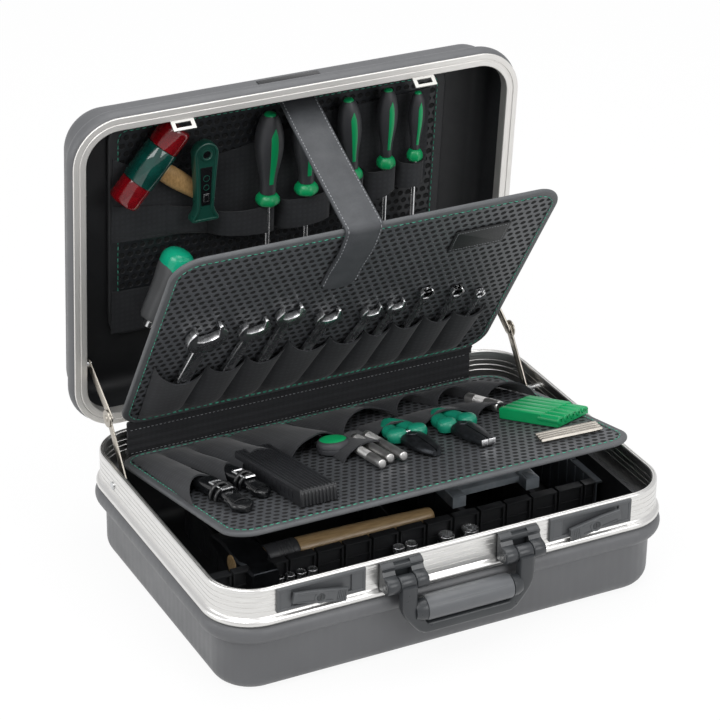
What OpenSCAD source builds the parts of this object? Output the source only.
// Hard tool case: ABS shells with aluminium frames, standing open, with its tool boards and tools.
// Millimetres. The floor under the base is z = 0, X runs along the front, -Y is the handle side.

/* [Case] */
// Half of the base frame's width
half_w = 240; // [232:1:260]
// Half of the base frame's depth
half_d = 168; // [162:1:185]
// Corner radius of the base frame, in plan
corner_r = 45; // [38:1:60]
// Height of the base frame's rim above the floor
rim_z = 115.7; // [112:0.1:130]
// Height of the closed lid above the rim
lid_h = 58; // [54:1:75]
// Wall of the moulded shells
wall = 3; // [2:0.25:4]
// How far the shells stand in from the frame
shell_inset = 5; // [3:0.5:7]
// Rounding where a shell's wall meets its flat face
shell_round = 17; // [10:1:20]
// How far the shells' lips bulge out past the frame
lip_out = 5.5; // [3:0.5:8]

/* [Frames] */
// Height of the base's aluminium band
band_h = 38.7; // [34:0.1:44]
// Wall of the aluminium band
band_t = 3; // [2:0.25:4]
// Width of the band's rolled rim
rim_w = 5.1; // [4:0.1:7]
// How far the bead at the foot of the band stands out
bead_out = 4; // [2:0.5:5]
// Width of the lid frame's face
face_w = 13.3; // [11:0.1:16]
// Overhang of the lid frame past the base frame
face_out = 3; // [2:0.5:4]
// Gap between the closed lid and the base rim
lid_gap = 0.3; // [0.2:0.1:1]

/* [Lid hinge] */
// Angle at which the lid stands open
lid_open = 86; // [60:1:95]
// Distance of the hinge axis behind the base frame
hinge_back = 8.4; // [7:0.1:12]
// Depth of the hinge axis below the rim
hinge_drop = 10.8; // [8:0.1:14]
// Distance of each hinge from the middle
hinge_x = 150; // [100:1:170]
// Length of each hinge
hinge_len = 60; // [40:1:80]
// Radius of the hinge pin
hinge_pin_r = 2; // [1.5:0.1:2.5]

/* [Latches] */
// Distance of each latch from the middle
latch_x = 144; // [135:1:150]
// Width of a latch plate
latch_w = 91; // [84:1:96]
// Height of a latch plate
latch_h = 24.5; // [22:0.5:26]
// Thickness of a latch plate
latch_t = 3; // [2:0.25:4]
// Length of a lever
lever_len = 62; // [50:1:66]
// Height of a lever
lever_h = 14; // [11:0.5:16]
// Angle at which the levers stand open
lever_open = 10; // [4:1:14]
// Radius of a lock barrel
barrel_r = 4; // [3:0.25:5]

/* [Handle] */
// Distance between the handle's outer sides
handle_w = 142; // [125:1:160]
// Drop from the handle's pivot to its lower edge
handle_drop = 55; // [50:1:70]
// Width of a handle arm
arm_w = 16.6; // [12:0.2:20]
// Radius of the grip
grip_r = 12.5; // [10:0.25:14]
// Length of the grip
grip_len = 92; // [80:1:96]
// Height of the handle's pivot above the floor
pivot_z = 94; // [92:1:98]
// Radius of the handle pins
handle_pin_r = 2.5; // [2:0.25:3.5]

/* [Tool boards] */
// Gap between the upper board's edge and the frame's outer face
mid_side = 33; // [28:1:50]
// Length of the upper board from its hinge line
mid_len = 295; // [270:1:302]
// Height of the upper board's hinge line
mid_z = 122; // [119:0.5:124]
// Tilt of the upper board
mid_tilt = 58; // [45:1:65]
// Sideways shift of the upper board
mid_shift = -5; // [-8:1:4]
// Gap between the lower board's edge and the frame's outer face
low_side = 23; // [20:1:35]
// Length of the lower board from its hinge line
low_len = 292; // [280:1:296]
// Height of the lower board's hinge line
low_z = 94.6; // [90:0.2:97]
// Tilt of the lower board
low_tilt = 12.4; // [4:0.2:20]
// Thickness of the boards
board_t = 5; // [3:0.5:5.5]
// Gap between the lid board's edge and the frame's outer face
lid_board_side = 53; // [48:1:60]
// Radius of the boards' corners
board_r = 30; // [20:1:45]

/* [Stays] */
// Width of a stay's arm
stay_w = 10; // [8:0.5:12]
// Thickness of a stay's arm
stay_t = 1.6; // [1.2:0.1:2]
// Radius of a stay's knee disc
knee_r = 9; // [7:0.5:10]
// How far the stays stand in from the base frame's outer face
stay_in = 12.6; // [11:0.1:14]

/* [Base fittings] */
// Height of the long divider
divider_z = 62; // [50:1:70]
// Height of the cross dividers that carry the hammer
low_divider_z = 38.7; // [30:0.1:44]
// Thickness of the dividers
divider_t = 2.4; // [1.6:0.2:4]

/* [Hidden] */
$fn = 64;
run = 0.05;                    // running clearance of a pin in its bore
seat = 0.3;                    // gap between soft or curved pieces and what carries them
eps = 0.01;
frame_lid_z = rim_z + lid_gap; // underside of the closed lid's frame
mid_half = half_w - mid_side;
low_half = half_w - low_side;
lid_board_half = half_w - lid_board_side;
stay_x = half_w - stay_in;
band_z = rim_z - band_h;       // foot of the band, where the shell's lip begins
lip_h = 20;                    // height of a shell's lip
lip_r = 10.5;                  // radius of the lip's bulge
hinge_y = half_d + hinge_back;
hinge_z = rim_z - hinge_drop;
mid_y = half_d - 14;           // hinge lines of the two boards, inside the rear wall
low_y = half_d - 17;
lid_top = frame_lid_z + lid_h;
lid_in = lid_top - wall;       // inner face of the closed lid
lid_hw = half_w + face_out;
lid_hd = half_d + face_out;
lid_r = corner_r + face_out;
board_back = lid_in - seat;    // back of the lid board
lid_face = board_back - 4.7;   // front of the lid board, facing down when closed
tool_z = lid_face - 16;        // axis of the lid's round tools
abs_grey = [0.36, 0.37, 0.38];
abs_dark = [0.22, 0.23, 0.24];
alu = [0.82, 0.82, 0.81];
steel = [0.75, 0.75, 0.73];
black = [0.09, 0.09, 0.10];
cloth = [0.13, 0.14, 0.16];
green = [0.0, 0.55, 0.30];
wood = [0.80, 0.66, 0.44];

// ---- helpers ----

// Rounded rectangle of full width w and depth d, made of plain circles and squares
module rrect(w, d, r) {
  square([w - 2 * r, d], center = true);
  square([w, d - 2 * r], center = true);
  for (sx = [-1, 1], sy = [-1, 1])
    translate([sx * (w / 2 - r), sy * (d / 2 - r)]) circle(r);
}

// Carries a section round a rounded rectangle; the section's x is the way out, its y is up
module around(hw, hd, r) {
  for (k = [0:3]) let (sx = [1, -1, -1, 1][k], sy = [1, 1, -1, -1][k])
    translate([sx * (hw - r), sy * (hd - r), 0]) rotate([0, 0, 90 * k])
      rotate_extrude(angle = 90) translate([r, 0]) children();
  for (k = [0:3]) let (far = k % 2 == 0 ? hw : hd, half = k % 2 == 0 ? hd - r : hw - r)
    rotate([0, 0, 90 * k]) translate([far, half, 0]) rotate([90, 0, 0])
      linear_extrude(2 * half) children();
}

// A rod of radius r from a to b
module rod(a, b, r) {
  v = b - a;
  translate(a)
    rotate([0, acos(v[2] / norm(v)), atan2(v[1], v[0])])
      cylinder(r = r, h = norm(v));
}

module cyl_x(r, h) rotate([0, 90, 0]) cylinder(r = r, h = h, center = true);
module cyl_y(r, h) rotate([90, 0, 0]) cylinder(r = r, h = h, center = true);
module both_x() for (m = [0, 1]) mirror([m, 0, 0]) children();

// The closed lid's place, turned open
module on_lid() {
  translate([0, hinge_y, hinge_z]) rotate([-lid_open, 0, 0]) translate([0, -hinge_y, -hinge_z]) children();
}
// Upper board: its working face is z = 0 and its tools hang at z < 0
module on_mid() {
  translate([mid_shift, mid_y, mid_z]) rotate([-mid_tilt, 0, 0]) children();
}
// Lower board: its working face is z = 0 and its tools stand at z > 0
module on_low() {
  translate([0, low_y, low_z]) rotate([-low_tilt, 0, 0]) children();
}

// Section of a shell's wall with its lip, from the flat face up; z grows towards the frame.
// The wall's outer face is inset from the path, and the flat face is z = 0.
module shell_section(inset, lip_z) {
  difference() {
    union() {
      translate([-inset - wall, shell_round]) square([wall, lip_z - shell_round + lip_h]);
      translate([-inset - shell_round, shell_round]) intersection() {
        circle(shell_round);
        translate([0, -shell_round]) square(shell_round);
      }
      intersection() {
        translate([lip_out - lip_r, lip_z + lip_r]) circle(lip_r);
        translate([-inset - wall, lip_z]) square([inset + wall + lip_out, lip_h]);
      }
    }
    translate([-inset - shell_round, shell_round]) circle(shell_round - wall);
  }
}

// up = 1 turns the shell over, with its flat face at the top
module shell(hw, hd, r, inset, lip_z, up = 0) {
  around(hw, hd, r) mirror([0, up]) shell_section(inset, lip_z);
  flat = inset + shell_round;
  translate([0, 0, -up * wall]) linear_extrude(wall) rrect(2 * (hw - flat), 2 * (hd - flat), max(1, r - flat));
}

// ---- base ----

base_lip_z = band_z - lip_h;
module base_shell() color(abs_grey) shell(half_w, half_d, corner_r, shell_inset, base_lip_z);

module band_section() {
  bead_z = band_z + 4;
  translate([-band_t, band_z]) square([band_t, band_h]);
  translate([-rim_w, rim_z - rim_w]) square([rim_w, rim_w]);
  translate([0, bead_z]) intersection() {
    circle(bead_out);
    translate([0, -bead_out]) square([bead_out, 2 * bead_out]);
  }
}
module base_frame() color(alu) around(half_w, half_d, corner_r) band_section();

latch_z = 101.3 - 115.7 + rim_z; // middle of the latches
lever_z = latch_z - 3.5;         // pivot of the levers
lever_x = latch_x + 3.5;
plate_y = -half_d;
lever_t = 5;
window_w = lever_len + 1;
module latch_plate() {
  color(abs_dark) difference() {
    translate([latch_x - latch_w / 2, plate_y - latch_t, latch_z - latch_h / 2])
      cube([latch_w, latch_t, latch_h]);
    translate([latch_x - window_w / 2, plate_y - latch_t - 1, latch_z - latch_h / 2 + 3])
      cube([window_w, latch_t, latch_h - 6]);
  }
}
module latch_plate_right() latch_plate();
module latch_plate_left() mirror([1, 0, 0]) latch_plate();

// Lever with its lock bore, on the right-hand latch
module lever() {
  color(abs_dark)
    translate([lever_x, plate_y - latch_t - seat - lever_t / 2, lever_z]) rotate([0, -lever_open, 0])
      difference() {
        cube([lever_len - 6, lever_t, lever_h], center = true);
        cyl_y(barrel_r + run, lever_t + 1);
      }
}
module lever_right() lever();
module lever_left() mirror([1, 0, 0]) lever();
module lock_barrel() {
  color(steel) translate([lever_x, plate_y - latch_t - seat - lever_t / 2, lever_z]) difference() {
    cyl_y(barrel_r, lever_t + 0.4);
    translate([0, -lever_t / 2, 0]) cube([0.9, 1.6, 4.4], center = true);
  }
}
module lock_right() lock_barrel();
module lock_left() mirror([1, 0, 0]) lock_barrel();

// ---- handle ----

pivot_y = -half_d - 14;
eye_r = 8;
arm_x = handle_w / 2 - arm_w / 2; // middle of an arm
cheek_w = 13;
cheek_gap = arm_w + 2 * seat;
bracket_top = pivot_z + 19;
bracket_foot = pivot_z - 8;
module handle_bracket() {
  w = cheek_gap + 2 * cheek_w;
  color(abs_dark) difference() {
    union() {
      translate([arm_x - w / 2, -half_d - 3, bracket_foot]) cube([w, 3, bracket_top - bracket_foot]);
      for (s = [-1, 1]) translate([arm_x + s * (cheek_gap + cheek_w) / 2, 0, 0]) {
        translate([0, pivot_y, pivot_z]) cyl_x(eye_r, cheek_w);
        translate([-cheek_w / 2, pivot_y, pivot_z]) cube([cheek_w, -half_d - pivot_y, eye_r]);
        translate([-cheek_w / 2, pivot_y + 5, bracket_foot]) cube([cheek_w, -half_d - pivot_y - 5, 20]);
      }
      translate([arm_x - w / 2, -half_d - 8, bracket_top - 8]) cube([w, 8, 6]);
    }
    translate([arm_x, pivot_y, pivot_z]) cyl_x(handle_pin_r, w + 2);
  }
}
module handle_bracket_right() handle_bracket();
module handle_bracket_left() mirror([1, 0, 0]) handle_bracket();
module handle_pins() {
  color(steel) both_x() translate([arm_x, pivot_y, pivot_z])
    cyl_x(handle_pin_r, cheek_gap + 2 * cheek_w - 4);
}

frame_y = -half_d - 19.5;  // middle plane of the hanging handle
frame_t = 13;
foot_half = handle_w / 2 - 23;
grip_z = pivot_z - 29;
module handle_outline() {
  low = pivot_z - handle_drop;
  knee = pivot_z - 25;
  polygon([[-handle_w / 2, pivot_z], [-handle_w / 2, knee], [-foot_half, low], [foot_half, low],
    [handle_w / 2, knee], [handle_w / 2, pivot_z], [handle_w / 2 - arm_w, pivot_z],
    [handle_w / 2 - arm_w, knee + 3], [grip_len / 2 + seat, grip_z - 4], [grip_len / 2 + seat, low + 12],
    [-grip_len / 2 - seat, low + 12], [-grip_len / 2 - seat, grip_z - 4],
    [-handle_w / 2 + arm_w, knee + 3], [-handle_w / 2 + arm_w, pivot_z]]);
}
module handle_frame() {
  color(abs_grey) difference() {
    union() {
      translate([0, frame_y + frame_t / 2, 0]) rotate([90, 0, 0]) linear_extrude(frame_t) handle_outline();
      both_x() translate([arm_x, pivot_y, pivot_z]) cyl_x(eye_r, arm_w);
    }
    translate([0, pivot_y, pivot_z]) cyl_x(handle_pin_r + run, handle_w + 2);
    translate([0, frame_y, grip_z]) cyl_x(grip_r + seat, grip_len + 2 * seat);
  }
}
module handle_grip() color(abs_dark) translate([0, frame_y, grip_z]) cyl_x(grip_r, grip_len);

// ---- lid hinge ----

knuckle_r = 4;
leaf_t = 2;
knuckle = hinge_len / 4;
module hinge_base_leaves() {
  color(steel) both_x() translate([hinge_x, 0, 0]) difference() {
    union() {
      translate([-hinge_len / 2, half_d, hinge_z - 16]) cube([hinge_len, leaf_t, 14]);
      for (s = [-1, 1]) translate([s * knuckle * 1.5, 0, 0]) {
        translate([-knuckle / 2, half_d, hinge_z - 4]) cube([knuckle, hinge_back, 4]);
        translate([0, hinge_y, hinge_z]) cyl_x(knuckle_r, knuckle);
      }
    }
    translate([0, hinge_y, hinge_z]) cyl_x(hinge_pin_r, hinge_len + 2);
  }
}
leaf_y = half_d + lip_out; // the lid's leaf lies against the bulge of its lip
module hinge_lid_leaves() {
  gap = 0.4;
  color(steel) on_lid() both_x() translate([hinge_x, 0, 0]) difference() {
    union() {
      translate([-knuckle + gap, leaf_y, hinge_z]) cube([2 * (knuckle - gap), leaf_t, 6]);
      translate([0, hinge_y, hinge_z]) cyl_x(knuckle_r, 2 * (knuckle - gap));
      translate([-hinge_len / 2, leaf_y, rim_z - 2]) cube([hinge_len, leaf_t, 18]);
      translate([-knuckle + gap, leaf_y, hinge_z + 2]) cube([2 * (knuckle - gap), leaf_t, rim_z - hinge_z]);
    }
    translate([0, hinge_y, hinge_z]) cyl_x(hinge_pin_r + run, hinge_len + 2);
  }
}
module hinge_pins() {
  color(steel) both_x() translate([hinge_x, hinge_y, hinge_z]) cyl_x(hinge_pin_r, hinge_len);
}

// ---- stays ----

stay_base = [98, 96];    // y and z of the pivot on the base band
stay_lid = [190, 184];   // y and z of the pivot in the open lid
stay_knee = [137, 149];  // y and z of the knee
rivet_r = 2;
// A flat arm from a to b, drilled at a
module stay_bar(a, b, x) {
  difference() {
    union() {
      for (p = [a, b]) translate([x, p[0], p[1]]) cyl_x(stay_w / 2, stay_t);
      v = b - a;
      translate([x, a[0], a[1]]) rotate([atan2(v[1], v[0]), 0, 0])
        translate([-stay_t / 2, 0, -stay_w / 2 + 0.3]) cube([stay_t, norm(v), stay_w - 0.6]);
    }
    translate([x, a[0], a[1]]) cyl_x(rivet_r + run, stay_t + 1);
  }
}
lower_x = stay_x - stay_t / 2;
upper_x = stay_x - stay_t * 1.5 - 0.2;
disc_t = 2;
// The knee has its heads but no pin through, because the two arms' fixed ratios drift apart between the ends
module stay_lower_arms() {
  color(steel) both_x() {
    stay_bar(stay_base, stay_knee, lower_x);
    translate([stay_x + disc_t / 2, stay_knee[0], stay_knee[1]]) cyl_x(knee_r, disc_t);
  }
}
module stay_upper_arms() {
  color(steel) both_x() {
    stay_bar(stay_lid, stay_knee, upper_x);
    translate([upper_x - stay_t / 2 - 0.3, stay_knee[0], stay_knee[1]]) cyl_x(4, 0.8);
  }
}
// Rivets that stand in from the band and from the lid's frame, with a head inside each arm
module stay_base_rivets() {
  inner = lower_x - stay_t / 2 - 0.2;
  boss = half_w - band_t - stay_x - 0.2;
  color(steel) both_x() translate([0, stay_base[0], stay_base[1]]) {
    translate([(inner + half_w + 1) / 2, 0, 0]) cyl_x(rivet_r, half_w + 1 - inner);
    translate([half_w - band_t - boss / 2, 0, 0]) cyl_x(4, boss);
    translate([half_w + 0.6, 0, 0]) cyl_x(4, 1.2);
    translate([inner - 0.4, 0, 0]) cyl_x(3.2, 0.8);
  }
}
module stay_lid_rivets() {
  wall_x = lid_hw - face_w;
  inner = upper_x - stay_t / 2 - 0.2;
  boss = wall_x - upper_x - stay_t / 2 - 0.2;
  color(steel) both_x() translate([0, stay_lid[0], stay_lid[1]]) {
    translate([(inner + wall_x) / 2, 0, 0]) cyl_x(rivet_r, wall_x - inner);
    translate([wall_x - boss / 2, 0, 0]) cyl_x(3.4, boss);
    translate([inner - 0.4, 0, 0]) cyl_x(3.2, 0.8);
  }
}

// ---- lid ----

module lid_shell() {
  color(abs_grey) on_lid() translate([0, 0, lid_top])
    shell(half_w, half_d, corner_r, shell_inset, lid_h - lip_h - 2, up = 1);
}
module lid_face_section() {
  translate([-face_w, frame_lid_z]) square([face_w, 1.7]);
  translate([-face_w, frame_lid_z]) square([1.5, 12]);
}
module lid_frame() color(alu) on_lid() around(lid_hw, lid_hd, lid_r) lid_face_section();
module name_plate() {
  color(black) on_lid()
    translate([-34, -half_d + shell_inset - 1.2, lid_top - shell_round - 17]) cube([67, 1.2, 16]);
}

striker_x = 131;
module strikers() {
  root = half_d + face_out - face_w + 0.4;
  color(steel) on_lid() both_x() translate([striker_x, -root, frame_lid_z + 1.2]) rotate([35, 0, 0])
    difference() {
      translate([-12, -0.6, -12]) cube([24, 1.6, 12]);
      translate([-8, -1, -9]) cube([16, 3, 5.5]);
    }
}

lid_board_top = half_d - 28; // from the middle to the board's upper edge
lid_board_foot = 100;
module lid_board() {
  len = lid_board_top + lid_board_foot;
  color(cloth) on_lid() translate([0, (lid_board_foot - lid_board_top) / 2, lid_face])
    linear_extrude(board_back - lid_face) rrect(2 * lid_board_half, len, 20);
}

// Screwdrivers: upper end x, y; shoulder x, y; radius of the shoulder and of the handle's belly
// (closed lid, y to the rear)
drivers = [
  [-20.5, -130, -20.4, -28, 12.6, 15.2], [19.8, -125, 22.9, -32, 12.6, 15], [66, -130, 75, -38, 11, 12.6],
  [111, -133, 113, -44, 10, 10.8], [145.6, -124, 146, -46, 8.5, 8.8]
];
blade_end = 45;
blade_r = 3;
module driver_handles() {
  color(abs_dark) on_lid() for (d = drivers) {
    a = [d[0], d[1], tool_z];
    b = [d[2], d[3], tool_z];
    u = (b - a) / norm(b - a);
    belly_end = 0.6 * norm(b - a);
    // the parts run into each other, so each handle is one solid
    rod(a, b - u * 2, d[5] * 0.6);
    rod(a + u * 10, a + u * belly_end, d[5]);
    rod(b - u * 12, b, d[4]);
  }
}
module driver_blades() {
  color(steel) on_lid() for (d = drivers)
    rod([d[2], d[3] + 0.5, tool_z], [d[2] + 1, blade_end, tool_z], blade_r);
}

// Band of loops, which steps with the screwdrivers' shoulders: each part's x from, x to, and its edge nearest them
loops_at = [[-80, -7, -26], [-7, 56, -30], [56, 92, -36], [92, 128, -42], [128, 162, -44]];
loop_w = 34;
module lid_pockets() {
  front = tool_z - 5;
  color(cloth) on_lid() difference() {
    union() {
      for (l = loops_at) translate([l[0], l[2], front]) cube([l[1] - l[0], loop_w, lid_face - front]);
      translate([-180, -44, lid_face - 3]) cube([100, 38, 3]);
    }
    for (d = drivers) {
      rod([d[2], d[3], tool_z], [d[2] + 1, blade_end + 4, tool_z], blade_r + seat);
      rod([d[2], d[3] - 20, tool_z], [d[2], d[3] + seat, tool_z], d[4] + seat);
    }
    rod(big_a, big_b, 18 + seat);
  }
}

// Soft-faced mallet, lying slanted on the lid board
mallet_c = [-150, -98, lid_face - 17.5];
mallet_dir = 129; // way of the head in the board's plane
mallet_r = 17;
module mallet_place() {
  on_lid() translate(mallet_c) rotate([0, 0, mallet_dir]) children();
}
module mallet_body() {
  color([0.03, 0.25, 0.20]) mallet_place() cyl_x(mallet_r, 42);
}
module mallet_faces() {
  color([0.65, 0.03, 0.04]) mallet_place() for (s = [-1, 1]) translate([s * 34, 0, 0]) cyl_x(mallet_r - 1, 26);
}
module mallet_handle() {
  color(wood) mallet_place() difference() {
    translate([-12, -86, -1]) cube([24, 86, 15]);
    cyl_x(mallet_r + eps, 60);
  }
}
// Folding knife, standing in front of the mallet's handle
module folding_knife() {
  z = tool_z - 15;
  color(green * 0.5) on_lid() {
    translate([-95, -104, z]) cylinder(r = 13, h = 12);
    translate([-107, -104, z]) cube([24, 62, 12]);
    translate([-110, -44, z]) cube([30, 14, 12]);
  }
}
// Big driver low in the lid, its cap upwards
big_a = [-114, 4, lid_face - 17.5 - seat];
big_b = [-148, 76, lid_face - 17.5 - seat];
module big_driver() {
  u = (big_b - big_a) / norm(big_b - big_a);
  color(abs_dark) on_lid() rod(big_a + u * (22 + eps), big_b, 14.5);
}
module big_driver_cap() {
  u = (big_b - big_a) / norm(big_b - big_a);
  color(green) on_lid() rod(big_a, big_a + u * 22, 17.5);
}

// Strap from the lid's upper edge over the upper board's edge, modelled straight
strap_w = 40;
strap_t = 3;
module strap() {
  a = on_lid_point([9, -140, lid_face - 2]);
  top = on_mid_point([-14, mid_len + 2.6, board_t - 1]);
  run_yz = norm([top[1] - a[1], top[2] - a[2]]);
  color([0.28, 0.29, 0.30]) {
    translate(a) rotate([atan2(top[2] - a[2], top[1] - a[1]) + 180, 0, 0])
      rotate([0, 0, atan2(top[0] - a[0], run_yz)]) translate([-strap_w / 2 + 8, -run_yz, -strap_t / 2])
        cube([strap_w - 16, run_yz - 2, strap_t]);
    on_mid() translate([-14 - strap_w / 2, -mid_len - seat - strap_t, -strap_t - seat])
      cube([strap_w, 95, strap_t]);
    on_mid() translate([-14 - strap_w / 2, -mid_len - seat - strap_t, -strap_t - seat])
      cube([strap_w, strap_t, board_t + strap_t]);
  }
}
function turn_x(p, a) = [p[0], p[1] * cos(a) - p[2] * sin(a), p[1] * sin(a) + p[2] * cos(a)];
function on_lid_point(p) =
  [0, hinge_y, hinge_z] + turn_x(p - [0, hinge_y, hinge_z], -lid_open);
function on_mid_point(p) = [mid_shift, mid_y, mid_z] + turn_x([p[0], -p[1], p[2]], -mid_tilt);

// ---- upper board ----

// A board of half width hw from the hinge line, and length len
module board(hw, len, r, gap) {
  translate([0, -(len + gap) / 2, 0]) linear_extrude(board_t) rrect(2 * hw, len - gap, r);
}
module mid_board() {
  color(cloth) on_mid() {
    board(mid_half, mid_len, board_r, 6);
    cyl_x(0.9, 2 * mid_half - 60);
    translate([-mid_half + 30, -8, -0.6]) cube([2 * mid_half - 60, 8, 1.2]);
  }
}

// Spanners: head x, head distance from the hinge line, width of the head; then the foot's x and distance
spanners_at = [
  [-147, 160, 46, -161, 40], [-96, 156, 37, -118, 36], [-60, 168, 34, -78, 40], [-13, 147, 32, -34, 38],
  [37, 138, 26, 12, 36], [64, 140, 23, 46, 38], [95, 152, 17, 82, 42], [132, 143, 16, 122, 43],
  [163, 129, 12, 154, 44]
];
spanner_t = 5;
pocket_d = 8.5;
module spanner_rod(s, grow) {
  a = [s[0], -s[1], -pocket_d / 2 - seat];
  b = [s[3], -s[4], -pocket_d / 2 - seat];
  v = b - a;
  translate(a) rotate([0, 0, atan2(v[1], v[0])])
    translate([0, -s[2] * 0.17 - grow, -spanner_t / 2 - grow])
      cube([norm(v) + grow, s[2] * 0.34 + 2 * grow, spanner_t + 2 * grow]);
}
module spanners() {
  color(steel) on_mid() for (s = spanners_at) {
    spanner_rod(s, 0);
    translate([s[0], -s[1], -pocket_d / 2 - seat]) difference() {
      cylinder(r = s[2] * 0.46, h = spanner_t, center = true);
      translate([-s[2] * 0.22, -s[2] * 1.12, -spanner_t]) cube([s[2] * 0.44, s[2], 2 * spanner_t]);
    }
  }
}
module mid_pockets() {
  color(cloth) on_mid() difference() {
    translate([-186, -102, -pocket_d]) cube([366, 84, pocket_d]);
    for (s = spanners_at) spanner_rod(s, seat);
  }
}
module mid_patch() color(black) on_mid() translate([98, -253, -1.2]) cube([62, 34, 1.2]);

// ---- lower board ----

module low_board() {
  color(cloth) on_low() {
    translate([0, 0, -board_t]) board(low_half, low_len, board_r, 2);
    translate([-low_half + 30, -4, -0.6]) cube([2 * low_half - 60, 4, 1.2]);
    cyl_x(0.9, 2 * low_half - 60);
  }
}

pocket_h = 11;
tape_at = [-36, 132];
module low_pockets() {
  color(cloth) on_low() difference() {
    union() {
      translate([-205, -125, 0]) cube([170, 105, pocket_h]);
      translate([-205, -185, 0]) cube([10, 62, 3]);
      translate([-30, -168, 0]) cube([44, 100, pocket_h]);
      translate([18, -130, 0]) cube([162, 108, pocket_h]);
    }
    low_tools(seat);
  }
}
// Room that the lower board's tools take, grown by a gap
module low_tools(grow) {
  for (k = knives_at) knife_body(k, grow);
  ribbed_body(grow);
  translate([tape_at[0], -tape_at[1], -1]) cylinder(r = 17 + grow, h = 30);
  for (p = punches_at) punch(p, grow);
  for (p = [cutters_at, pliers_at]) plier_grips(p, grow);
  torch_body(grow);
  key_block(grow);
}
knives_at = [[-184, 112, -178, 240, 12], [-153, 112, -147, 214, 10.5]];
module knife_body(k, grow) {
  a = [k[0], -k[1], 0];
  v = [k[2], -k[3], 0] - a;
  translate(a) rotate([0, 0, atan2(v[1], v[0])])
    translate([0, -k[4] - grow, seat - 2 * grow]) cube([norm(v) + grow, 2 * k[4] + 2 * grow, 13 + 2 * grow]);
}
module knives() color(black) on_low() for (k = knives_at) knife_body(k, 0);
module ribbed_body(grow) {
  translate([-133 - grow, -262 - grow, seat - 2 * grow]) cube([38 + 2 * grow, 150 + 2 * grow, 17 + 2 * grow]);
}
module ribbed_box() color(black) on_low() ribbed_body(0);
module tape_measure() {
  color(green) on_low() translate([tape_at[0], -tape_at[1], seat]) cylinder(r = 17, h = 15);
}
punches_at = [[-21, 152, -23, 214, 4.8], [-7, 120, -9, 204, 4.8], [6, 120, 4, 207, 4.8]];
module punch(p, grow) {
  z = pocket_h / 2 + seat;
  rod([p[0], -p[1] + grow, z], [p[2], -p[3], z], p[4] + grow);
}
module punches() color(steel) on_low() for (p = punches_at) punch(p, 0);
cutters_at = [36, 158];
pliers_at = [90, 162];
grip_h = 13;
module plier_grips(p, grow) {
  for (s = [-1, 1]) translate([p[0], -p[1], 0]) rotate([0, 0, 90 - s * 14])
    translate([0, s * 13 - 8 - grow, seat - 2 * grow]) cube([52 + grow, 16 + 2 * grow, grip_h + 2 * grow]);
}
module plier_head(p, len) {
  translate([p[0] - 13, -p[1] - len, seat]) cube([26, len - eps, grip_h - 2]);
}
module side_cutters() {
  color(green) on_low() {
    plier_grips(cutters_at, 0);
    plier_head(cutters_at, 56);
  }
}
module pliers() {
  color(green) on_low() {
    plier_grips(pliers_at, 0);
    plier_head(pliers_at, 58);
  }
}
module torch_body(grow) {
  z = 6 + seat;
  rod([141, -84 + grow, z], [152, -134, z], 6 + grow);
}
module torch() color(steel) on_low() torch_body(0);
module key_block(grow) {
  translate([180, -172, seat - 2 * grow]) rotate([0, 0, 24])
    translate([-26 - grow, -36 - grow, 0]) cube([52 + 2 * grow, 72 + 2 * grow, 15 + 2 * grow]);
}
module key_holder() color(green) on_low() key_block(0);
module hex_keys() {
  color(steel) on_low() for (i = [0 : 3])
    rod([134 + 2 * i, -246 + 7 * i, 2.4 - 0.2 * i + seat], [200 + 2 * i, -251 + 7 * i, 2.4 - 0.2 * i + seat],
      2.4 - 0.2 * i);
}

// ---- spine and base fittings ----

spine_y = mid_y + 1.4;
module spine() {
  half = half_w - corner_r;
  color(cloth) translate([mid_shift, spine_y, low_z - board_t]) {
    translate([-half, 0, 0]) cube([2 * half, 1.5, mid_z - low_z + board_t]);
    translate([-half + 10, 0, 0]) cube([2 * half - 20, half_d - band_t - seat - spine_y, 1.5]);
  }
}

divider_y = -47;
ledge = 10;              // width of the ledge along a divider's top
rail_x = half_w - 16;
rear_y = 128;
module long_divider() {
  color(black) {
    translate([-rail_x + seat, divider_y - divider_t / 2, 8])
      cube([2 * (rail_x - seat), divider_t, divider_z - 8]);
    translate([-rail_x + seat, divider_y - ledge / 2, divider_z - divider_t])
      cube([2 * (rail_x - seat), ledge, divider_t]);
    translate([-rail_x + 12, divider_y - divider_t / 2, wall]) cube([2 * rail_x - 24, divider_t, 6]);
  }
}
// Cross dividers: x and height; the low ones carry the hammer and the high ones the parts box
cross_at = [[-150, low_divider_z], [-115, low_divider_z], [24, low_divider_z], [76, divider_z], [157, divider_z]];
module cross_dividers() {
  front = divider_y + ledge / 2 + seat;
  color(black) for (c = cross_at) translate([c[0] - divider_t / 2, front, wall])
    cube([divider_t, rear_y - front, c[1] - wall]);
}
module side_rails() {
  color(abs_dark) both_x() {
    translate([rail_x, divider_y - ledge / 2, 8]) cube([1.6, rear_y - divider_y, divider_z - 8]);
    translate([rail_x, divider_y - ledge / 2, divider_z - divider_t])
      cube([half_w - shell_inset - wall - rail_x - seat, rear_y - divider_y, divider_t]);
  }
}

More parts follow.
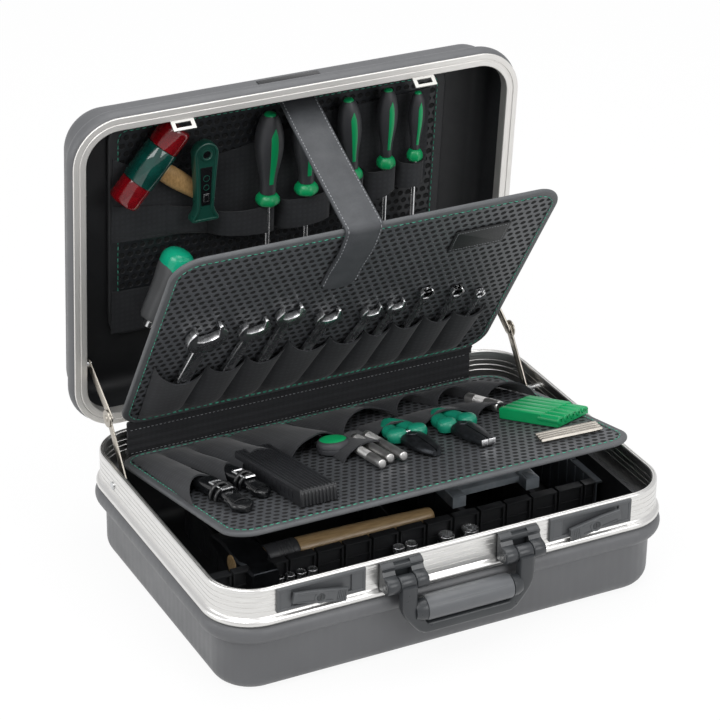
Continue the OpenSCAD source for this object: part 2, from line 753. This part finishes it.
// Sockets: x and radius; they stand in a rail in front of the long divider
sockets_at = [[-143, 4.5], [-133, 4.5], [-122, 4.8], [-110, 5], [-98, 5.2], [-4, 6], [10, 6.3], [49, 8.3], [76, 9]];
socket_y = -57.5;
socket_z = 28;
socket_len = 22;
module socket_rail() {
  color(black) translate([-155, divider_y - divider_t / 2 - 18, wall]) difference() {
    cube([245, 18, socket_z - wall + 4]);
    for (s = sockets_at) translate([s[0] + 155, socket_y - divider_y + divider_t / 2 + 18, socket_z - wall])
      cylinder(r = s[1] + seat, h = 10);
  }
}
module sockets() {
  color(steel) for (s = sockets_at) translate([s[0], socket_y, socket_z]) difference() {
    cylinder(r = s[1], h = socket_len);
    translate([0, 0, socket_len - 9]) cylinder(r = s[1] * 0.72, h = 10);
  }
}

hammer_y = -22;
hammer_r = 12.5;
hammer_z = low_divider_z + hammer_r + seat;
head_x = -167;           // left face of the hammer's head
head_t = 34;
sleeve_end = -98;
module hammer_grip() {
  color(black) translate([0, hammer_y, hammer_z]) difference() {
    translate([head_x + head_t + eps, 0, 0]) rotate([0, 90, 0])
      cylinder(r = hammer_r, h = sleeve_end - head_x - head_t - eps);
    cyl_x(10.5, 400);
  }
}
module hammer_handle() {
  color(wood) translate([head_x - 1, hammer_y, hammer_z]) rotate([0, 90, 0]) {
    cylinder(r = 10.5, h = sleeve_end - head_x + 1);
    translate([0, 0, sleeve_end - head_x + 1]) cylinder(r1 = 12, r2 = 9, h = 150);
  }
}
module hammer_head() {
  color(steel) difference() {
    translate([head_x, hammer_y - 19, hammer_z - hammer_r]) cube([head_t, 100, 2 * hammer_r - 1]);
    translate([head_x, hammer_y, hammer_z]) cyl_x(10.5, 3 * head_t);
  }
}
// Low box with a raised post along each side
box_x = [67, 166];
module parts_box() {
  w = box_x[1] - box_x[0];
  color([0.6, 0.65, 0.7]) translate([box_x[0], -37, divider_z + seat]) {
    for (x = [0, w - 15]) translate([x, 0, 0]) difference() {
      cube([15, 70, 13]);
      translate([1.5, 1.5, 1.5]) cube([12, 67, 10]);
    }
    translate([14, 14, 3]) cube([w - 28, 56, 7.5]);
  }
}

base_shell();
base_frame();
latch_plate_left();
latch_plate_right();
handle_bracket_left();
handle_bracket_right();
handle_pins();
hinge_base_leaves();
hinge_pins();
stay_base_rivets();
spine();
long_divider();
cross_dividers();
side_rails();
socket_rail();
sockets();
hammer_grip();
hammer_handle();
hammer_head();
parts_box();
lid_shell();
lid_frame();
name_plate();
strikers();
hinge_lid_leaves();
stay_lid_rivets();
lid_board();
lid_pockets();
mallet_body();
mallet_faces();
mallet_handle();
folding_knife();
driver_handles();
driver_blades();
big_driver();
big_driver_cap();
strap();
mid_board();
mid_pockets();
mid_patch();
spanners();
low_board();
low_pockets();
knives();
ribbed_box();
tape_measure();
punches();
side_cutters();
pliers();
torch();
key_holder();
hex_keys();
stay_lower_arms();
stay_upper_arms();
handle_frame();
handle_grip();
lever_left();
lever_right();
lock_left();
lock_right();
